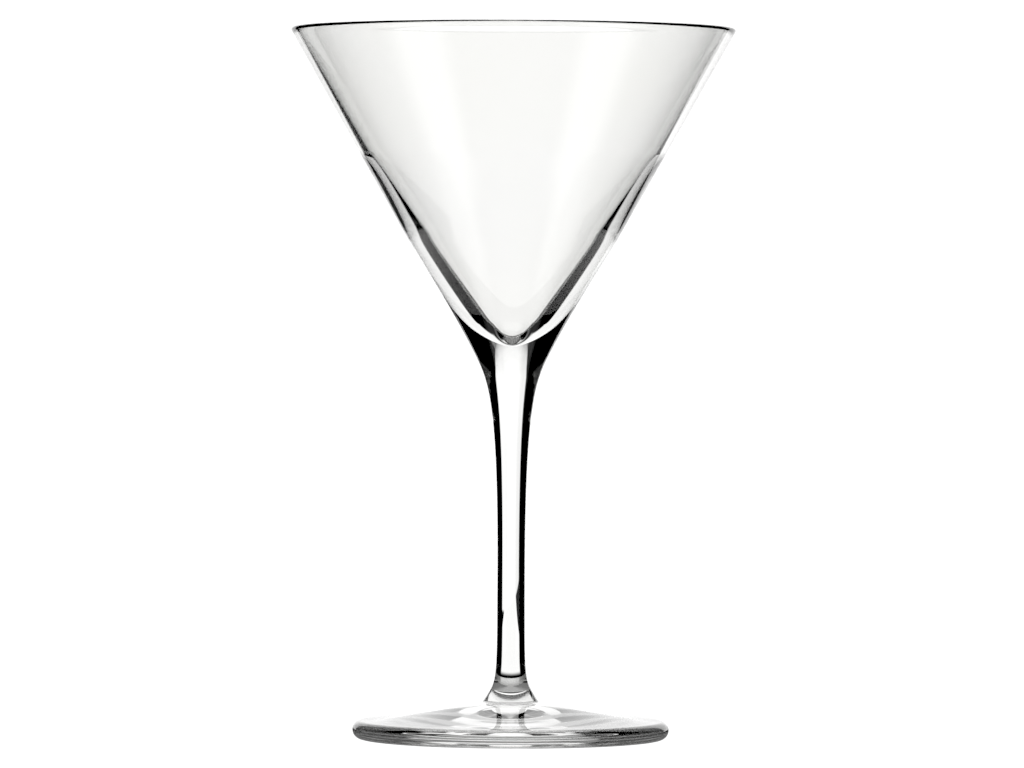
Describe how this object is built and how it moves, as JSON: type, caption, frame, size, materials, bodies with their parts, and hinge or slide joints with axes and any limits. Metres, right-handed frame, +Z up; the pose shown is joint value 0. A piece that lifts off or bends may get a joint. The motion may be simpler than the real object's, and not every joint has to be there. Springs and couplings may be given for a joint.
{
  "type": "martini glass",
  "caption": "Long-stemmed cocktail glass with a thin, straight-sided conical bowl, a slender drawn stem and a flat round foot, all in clear glass.",
  "frame": {"origin": "centre of the circle that the foot stands on, at the foot's bottom", "axes": "+Z up along the axis of the stem, from the foot to the rim of the bowl; the glass is a body of revolution, so +X and +Y are free"},
  "size_m": [0.1156, 0.1156, 0.185],
  "materials": {
    "bowl_glass": "clear, fire-polished",
    "stem_glass": "clear, fire-polished",
    "foot_glass": "clear, fire-polished, ground flat on the standing ring"
  },
  "bodies": {
    "root": {"bowl": "bowl_glass", "stem": "stem_glass", "foot": "foot_glass"}
  },
  "joints": []
}
